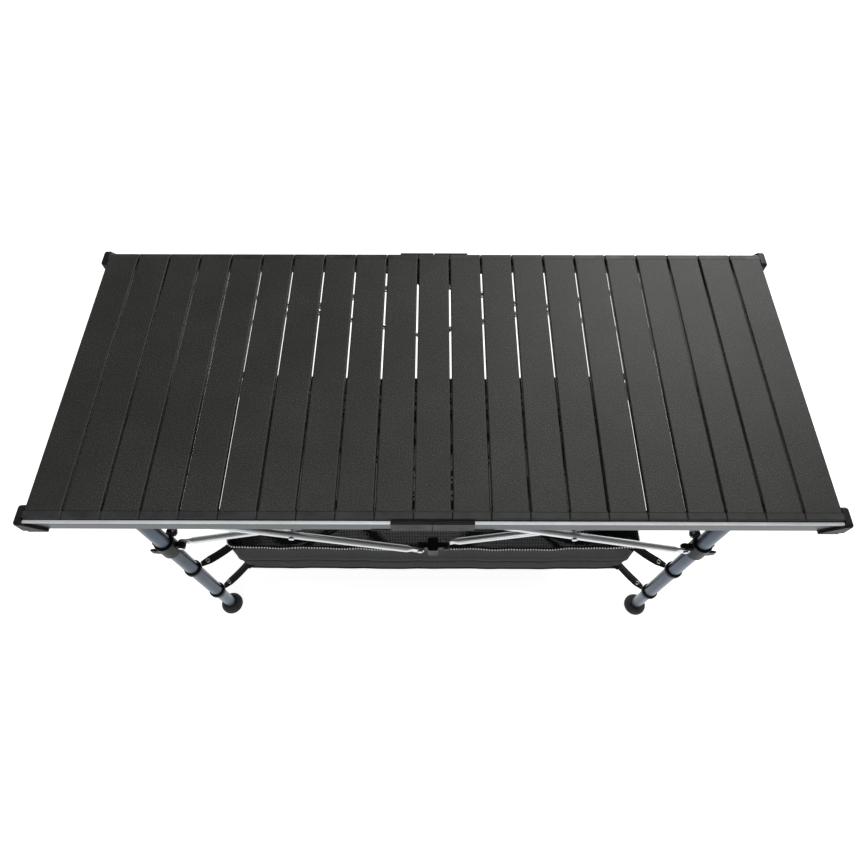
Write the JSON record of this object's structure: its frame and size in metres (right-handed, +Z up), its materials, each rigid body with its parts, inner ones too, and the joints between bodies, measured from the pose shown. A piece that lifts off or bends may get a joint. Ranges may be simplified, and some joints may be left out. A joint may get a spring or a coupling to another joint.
{
  "type": "folding camp kitchen table",
  "caption": "Slatted roll-up tabletop on a folding scissor frame with telescoping legs and a hung mesh storage bag.",
  "frame": {"origin": "on the floor under the middle of the table", "axes": "+X along the length to the right, +Y to the back, +Z up"},
  "size_m": [1.2, 0.528, 0.6],
  "materials": {
    "slat_metal": "fine textured dark powder coat",
    "rail_aluminium": "satin anodised",
    "leg_tube": "grey-blue satin anodised",
    "brace_tube": "bright anodised",
    "black_plastic": "moulded, fine grain",
    "bag_mesh": "black mesh with a solid band",
    "webbing": "black webbing",
    "bolt_steel": "plated"
  },
  "bodies": {
    "top_frame": {"front_left_rail": "rail_aluminium", "front_right_rail": "rail_aluminium", "back_left_rail": "rail_aluminium", "back_right_rail": "rail_aluminium", "front_rail_hinge": "black_plastic", "back_rail_hinge": "black_plastic", "corner_caps": "black_plastic", "rail_bolts": "bolt_steel", "front_top_hub": "black_plastic", "slat_11": "slat_metal", "storage_bag": "bag_mesh", "bag_straps": "webbing", "strap_clips": "black_plastic"},
    "front_left_low_brace": {"front_left_low_brace": "brace_tube"},
    "front_left_high_brace": {"front_left_high_brace": "brace_tube"},
    "front_left_outer_leg": {"front_left_outer_leg": "leg_tube"},
    "front_left_collar": {"front_left_collar": "black_plastic"},
    "front_bottom_hub": {"front_bottom_hub": "black_plastic"},
    "front_right_low_brace": {"front_right_low_brace": "brace_tube"},
    "front_right_high_brace": {"front_right_high_brace": "brace_tube"},
    "front_right_outer_leg": {"front_right_outer_leg": "leg_tube"},
    "front_right_collar": {"front_right_collar": "black_plastic"},
    "left_high_brace": {"left_high_brace": "brace_tube"},
    "left_low_brace": {"left_low_brace": "brace_tube"},
    "back_left_outer_leg": {"back_left_outer_leg": "leg_tube"},
    "back_left_collar": {"back_left_collar": "black_plastic"},
    "back_left_high_brace": {"back_left_high_brace": "brace_tube"},
    "back_left_low_brace": {"back_left_low_brace": "brace_tube"},
    "right_high_brace": {"right_high_brace": "brace_tube"},
    "right_low_brace": {"right_low_brace": "brace_tube"},
    "back_right_outer_leg": {"back_right_outer_leg": "leg_tube"},
    "back_right_collar": {"back_right_collar": "black_plastic"},
    "back_right_high_brace": {"back_right_high_brace": "brace_tube"},
    "back_right_low_brace": {"back_right_low_brace": "brace_tube"},
    "back_top_hub": {"back_top_hub": "black_plastic"},
    "back_bottom_hub": {"back_bottom_hub": "black_plastic"},
    "front_left_inner_leg": {"front_left_inner_leg": "leg_tube"},
    "front_right_inner_leg": {"front_right_inner_leg": "leg_tube"},
    "back_left_inner_leg": {"back_left_inner_leg": "leg_tube"},
    "back_right_inner_leg": {"back_right_inner_leg": "leg_tube"},
    "slat_10": {"slat_10": "slat_metal"},
    "slat_09": {"slat_09": "slat_metal"},
    "slat_08": {"slat_08": "slat_metal"},
    "slat_07": {"slat_07": "slat_metal"},
    "slat_06": {"slat_06": "slat_metal"},
    "slat_05": {"slat_05": "slat_metal"},
    "slat_04": {"slat_04": "slat_metal"},
    "slat_03": {"slat_03": "slat_metal"},
    "slat_02": {"slat_02": "slat_metal"},
    "slat_01": {"slat_01": "slat_metal"},
    "slat_12": {"slat_12": "slat_metal"},
    "slat_13": {"slat_13": "slat_metal"},
    "slat_14": {"slat_14": "slat_metal"},
    "slat_15": {"slat_15": "slat_metal"},
    "slat_16": {"slat_16": "slat_metal"},
    "slat_17": {"slat_17": "slat_metal"},
    "slat_18": {"slat_18": "slat_metal"},
    "slat_19": {"slat_19": "slat_metal"},
    "slat_20": {"slat_20": "slat_metal"},
    "slat_21": {"slat_21": "slat_metal"}
  },
  "joints": [
    {"name": "frame_fold", "type": "hinge", "parent": "top_frame", "child": "front_left_low_brace", "pos_m": [-0.022, -0.2285, 0.554], "axis": [0, -1, 0], "range_deg": [0, 54.4], "deforming": ["storage_bag", "bag_straps", "strap_clips"]},
    {"name": "front_left_crossing", "type": "hinge", "parent": "front_left_low_brace", "child": "front_left_high_brace", "pos_m": [-0.2265, -0.2285, 0.479], "axis": [0, -1, 0], "range_deg": [-108.8, 0]},
    {"name": "front_left_head_pivot", "type": "hinge", "parent": "front_left_high_brace", "child": "front_left_outer_leg", "pos_m": [-0.431, -0.2285, 0.554], "axis": [0, -1, 0], "range_deg": [0, 54.4]},
    {"name": "front_left_collar_pivot", "type": "hinge", "parent": "front_left_low_brace", "child": "front_left_collar", "pos_m": [-0.431, -0.2285, 0.404], "axis": [0, -1, 0], "range_deg": [-54.4, 0]},
    {"name": "front_bottom_hub_pivot", "type": "hinge", "parent": "front_left_high_brace", "child": "front_bottom_hub", "pos_m": [-0.022, -0.2285, 0.404], "axis": [0, -1, 0], "range_deg": [0, 54.4]},
    {"name": "front_right_top_pivot", "type": "hinge", "parent": "top_frame", "child": "front_right_low_brace", "pos_m": [0.022, -0.2285, 0.554], "axis": [0, 1, 0], "range_deg": [0, 54.4]},
    {"name": "front_right_crossing", "type": "hinge", "parent": "front_right_low_brace", "child": "front_right_high_brace", "pos_m": [0.2265, -0.2285, 0.479], "axis": [0, 1, 0], "range_deg": [-108.8, 0]},
    {"name": "front_right_head_pivot", "type": "hinge", "parent": "front_right_high_brace", "child": "front_right_outer_leg", "pos_m": [0.431, -0.2285, 0.554], "axis": [0, 1, 0], "range_deg": [0, 54.4]},
    {"name": "front_right_collar_pivot", "type": "hinge", "parent": "front_right_low_brace", "child": "front_right_collar", "pos_m": [0.431, -0.2285, 0.404], "axis": [0, 1, 0], "range_deg": [-54.4, 0]},
    {"name": "left_side_top_pivot", "type": "hinge", "parent": "front_left_outer_leg", "child": "left_high_brace", "pos_m": [-0.455, -0.2045, 0.554], "axis": [-1, 0, 0], "range_deg": [0, 54.4]},
    {"name": "left_side_crossing", "type": "hinge", "parent": "left_high_brace", "child": "left_low_brace", "pos_m": [-0.455, 0, 0.479], "axis": [-1, 0, 0], "range_deg": [-108.8, 0]},
    {"name": "back_left_side_pivot", "type": "hinge", "parent": "left_low_brace", "child": "back_left_outer_leg", "pos_m": [-0.455, 0.2045, 0.554], "axis": [-1, 0, 0], "range_deg": [0, 54.4]},
    {"name": "back_left_collar_pivot", "type": "hinge", "parent": "left_high_brace", "child": "back_left_collar", "pos_m": [-0.455, 0.2045, 0.404], "axis": [-1, 0, 0], "range_deg": [-54.4, 0]},
    {"name": "back_left_head_pivot", "type": "hinge", "parent": "back_left_outer_leg", "child": "back_left_high_brace", "pos_m": [-0.431, 0.2285, 0.554], "axis": [0, -1, 0], "range_deg": [-54.4, 0]},
    {"name": "back_left_crossing", "type": "hinge", "parent": "back_left_high_brace", "child": "back_left_low_brace", "pos_m": [-0.2265, 0.2285, 0.479], "axis": [0, -1, 0], "range_deg": [0, 108.8]},
    {"name": "right_side_top_pivot", "type": "hinge", "parent": "front_right_outer_leg", "child": "right_high_brace", "pos_m": [0.455, -0.2045, 0.554], "axis": [-1, 0, 0], "range_deg": [0, 54.4]},
    {"name": "right_side_crossing", "type": "hinge", "parent": "right_high_brace", "child": "right_low_brace", "pos_m": [0.455, 0, 0.479], "axis": [-1, 0, 0], "range_deg": [-108.8, 0]},
    {"name": "back_right_side_pivot", "type": "hinge", "parent": "right_low_brace", "child": "back_right_outer_leg", "pos_m": [0.455, 0.2045, 0.554], "axis": [-1, 0, 0], "range_deg": [0, 54.4]},
    {"name": "back_right_collar_pivot", "type": "hinge", "parent": "right_high_brace", "child": "back_right_collar", "pos_m": [0.455, 0.2045, 0.404], "axis": [-1, 0, 0], "range_deg": [-54.4, 0]},
    {"name": "back_right_head_pivot", "type": "hinge", "parent": "back_right_outer_leg", "child": "back_right_high_brace", "pos_m": [0.431, 0.2285, 0.554], "axis": [0, 1, 0], "range_deg": [-54.4, 0]},
    {"name": "back_right_crossing", "type": "hinge", "parent": "back_right_high_brace", "child": "back_right_low_brace", "pos_m": [0.2265, 0.2285, 0.479], "axis": [0, 1, 0], "range_deg": [0, 108.8]},
    {"name": "back_top_hub_pivot", "type": "hinge", "parent": "back_left_low_brace", "child": "back_top_hub", "pos_m": [-0.022, 0.2285, 0.554], "axis": [0, -1, 0], "range_deg": [-54.4, 0]},
    {"name": "back_bottom_hub_pivot", "type": "hinge", "parent": "back_left_high_brace", "child": "back_bottom_hub", "pos_m": [-0.022, 0.2285, 0.404], "axis": [0, -1, 0], "range_deg": [0, 54.4]},
    {"name": "front_left_leg_extend", "type": "slide", "parent": "front_left_outer_leg", "child": "front_left_inner_leg", "axis": [0, 0, -1], "range_m": [-0.06, 0.15]},
    {"name": "front_right_leg_extend", "type": "slide", "parent": "front_right_outer_leg", "child": "front_right_inner_leg", "axis": [0, 0, -1], "range_m": [-0.06, 0.15]},
    {"name": "back_left_leg_extend", "type": "slide", "parent": "back_left_outer_leg", "child": "back_left_inner_leg", "axis": [0, 0, -1], "range_m": [-0.06, 0.15]},
    {"name": "back_right_leg_extend", "type": "slide", "parent": "back_right_outer_leg", "child": "back_right_inner_leg", "axis": [0, 0, -1], "range_m": [-0.06, 0.15]},
    {"name": "tabletop_roll", "type": "hinge", "parent": "top_frame", "child": "slat_10", "pos_m": [-0.028, 0, 0.6], "axis": [0, 1, 0], "range_deg": [0, 17]},
    {"name": "slat_09_roll", "type": "hinge", "parent": "slat_10", "child": "slat_09", "pos_m": [-0.084, 0, 0.6], "axis": [0, 1, 0], "range_deg": [0, 17]},
    {"name": "slat_08_roll", "type": "hinge", "parent": "slat_09", "child": "slat_08", "pos_m": [-0.14, 0, 0.6], "axis": [0, 1, 0], "range_deg": [0, 17]},
    {"name": "slat_07_roll", "type": "hinge", "parent": "slat_08", "child": "slat_07", "pos_m": [-0.196, 0, 0.6], "axis": [0, 1, 0], "range_deg": [0, 17]},
    {"name": "slat_06_roll", "type": "hinge", "parent": "slat_07", "child": "slat_06", "pos_m": [-0.252, 0, 0.6], "axis": [0, 1, 0], "range_deg": [0, 17]},
    {"name": "slat_05_roll", "type": "hinge", "parent": "slat_06", "child": "slat_05", "pos_m": [-0.308, 0, 0.6], "axis": [0, 1, 0], "range_deg": [0, 17]},
    {"name": "slat_04_roll", "type": "hinge", "parent": "slat_05", "child": "slat_04", "pos_m": [-0.364, 0, 0.6], "axis": [0, 1, 0], "range_deg": [0, 17]},
    {"name": "slat_03_roll", "type": "hinge", "parent": "slat_04", "child": "slat_03", "pos_m": [-0.42, 0, 0.6], "axis": [0, 1, 0], "range_deg": [0, 17]},
    {"name": "slat_02_roll", "type": "hinge", "parent": "slat_03", "child": "slat_02", "pos_m": [-0.476, 0, 0.6], "axis": [0, 1, 0], "range_deg": [0, 17]},
    {"name": "slat_01_roll", "type": "hinge", "parent": "slat_02", "child": "slat_01", "pos_m": [-0.532, 0, 0.6], "axis": [0, 1, 0], "range_deg": [0, 17]},
    {"name": "slat_12_roll", "type": "hinge", "parent": "top_frame", "child": "slat_12", "pos_m": [0.028, 0, 0.6], "axis": [0, -1, 0], "range_deg": [0, 17]},
    {"name": "slat_13_roll", "type": "hinge", "parent": "slat_12", "child": "slat_13", "pos_m": [0.084, 0, 0.6], "axis": [0, -1, 0], "range_deg": [0, 17]},
    {"name": "slat_14_roll", "type": "hinge", "parent": "slat_13", "child": "slat_14", "pos_m": [0.14, 0, 0.6], "axis": [0, -1, 0], "range_deg": [0, 17]},
    {"name": "slat_15_roll", "type": "hinge", "parent": "slat_14", "child": "slat_15", "pos_m": [0.196, 0, 0.6], "axis": [0, -1, 0], "range_deg": [0, 17]},
    {"name": "slat_16_roll", "type": "hinge", "parent": "slat_15", "child": "slat_16", "pos_m": [0.252, 0, 0.6], "axis": [0, -1, 0], "range_deg": [0, 17]},
    {"name": "slat_17_roll", "type": "hinge", "parent": "slat_16", "child": "slat_17", "pos_m": [0.308, 0, 0.6], "axis": [0, -1, 0], "range_deg": [0, 17]},
    {"name": "slat_18_roll", "type": "hinge", "parent": "slat_17", "child": "slat_18", "pos_m": [0.364, 0, 0.6], "axis": [0, -1, 0], "range_deg": [0, 17]},
    {"name": "slat_19_roll", "type": "hinge", "parent": "slat_18", "child": "slat_19", "pos_m": [0.42, 0, 0.6], "axis": [0, -1, 0], "range_deg": [0, 17]},
    {"name": "slat_20_roll", "type": "hinge", "parent": "slat_19", "child": "slat_20", "pos_m": [0.476, 0, 0.6], "axis": [0, -1, 0], "range_deg": [0, 17]},
    {"name": "slat_21_roll", "type": "hinge", "parent": "slat_20", "child": "slat_21", "pos_m": [0.532, 0, 0.6], "axis": [0, -1, 0], "range_deg": [0, 17]}
  ],
  "couplings": [
    {"joint": "front_left_crossing", "follows": "frame_fold", "ratio": -2},
    {"joint": "front_left_head_pivot", "follows": "frame_fold", "ratio": 1},
    {"joint": "front_left_collar_pivot", "follows": "frame_fold", "ratio": -1},
    {"joint": "front_bottom_hub_pivot", "follows": "frame_fold", "ratio": 1},
    {"joint": "front_right_top_pivot", "follows": "frame_fold", "ratio": 1},
    {"joint": "front_right_crossing", "follows": "frame_fold", "ratio": -2},
    {"joint": "front_right_head_pivot", "follows": "frame_fold", "ratio": 1},
    {"joint": "front_right_collar_pivot", "follows": "frame_fold", "ratio": -1},
    {"joint": "left_side_top_pivot", "follows": "frame_fold", "ratio": 1},
    {"joint": "left_side_crossing", "follows": "frame_fold", "ratio": -2},
    {"joint": "back_left_side_pivot", "follows": "frame_fold", "ratio": 1},
    {"joint": "back_left_collar_pivot", "follows": "frame_fold", "ratio": -1},
    {"joint": "back_left_head_pivot", "follows": "frame_fold", "ratio": -1},
    {"joint": "back_left_crossing", "follows": "frame_fold", "ratio": 2},
    {"joint": "right_side_top_pivot", "follows": "frame_fold", "ratio": 1},
    {"joint": "right_side_crossing", "follows": "frame_fold", "ratio": -2},
    {"joint": "back_right_side_pivot", "follows": "frame_fold", "ratio": 1},
    {"joint": "back_right_collar_pivot", "follows": "frame_fold", "ratio": -1},
    {"joint": "back_right_head_pivot", "follows": "frame_fold", "ratio": -1},
    {"joint": "back_right_crossing", "follows": "frame_fold", "ratio": 2},
    {"joint": "back_top_hub_pivot", "follows": "frame_fold", "ratio": -1},
    {"joint": "back_bottom_hub_pivot", "follows": "frame_fold", "ratio": 1},
    {"joint": "slat_09_roll", "follows": "tabletop_roll", "ratio": 1},
    {"joint": "slat_08_roll", "follows": "tabletop_roll", "ratio": 1},
    {"joint": "slat_07_roll", "follows": "tabletop_roll", "ratio": 1},
    {"joint": "slat_06_roll", "follows": "tabletop_roll", "ratio": 1},
    {"joint": "slat_05_roll", "follows": "tabletop_roll", "ratio": 1},
    {"joint": "slat_04_roll", "follows": "tabletop_roll", "ratio": 1},
    {"joint": "slat_03_roll", "follows": "tabletop_roll", "ratio": 1},
    {"joint": "slat_02_roll", "follows": "tabletop_roll", "ratio": 1},
    {"joint": "slat_01_roll", "follows": "tabletop_roll", "ratio": 1},
    {"joint": "slat_12_roll", "follows": "tabletop_roll", "ratio": 1},
    {"joint": "slat_13_roll", "follows": "tabletop_roll", "ratio": 1},
    {"joint": "slat_14_roll", "follows": "tabletop_roll", "ratio": 1},
    {"joint": "slat_15_roll", "follows": "tabletop_roll", "ratio": 1},
    {"joint": "slat_16_roll", "follows": "tabletop_roll", "ratio": 1},
    {"joint": "slat_17_roll", "follows": "tabletop_roll", "ratio": 1},
    {"joint": "slat_18_roll", "follows": "tabletop_roll", "ratio": 1},
    {"joint": "slat_19_roll", "follows": "tabletop_roll", "ratio": 1},
    {"joint": "slat_20_roll", "follows": "tabletop_roll", "ratio": 1},
    {"joint": "slat_21_roll", "follows": "tabletop_roll", "ratio": 1}
  ]
}
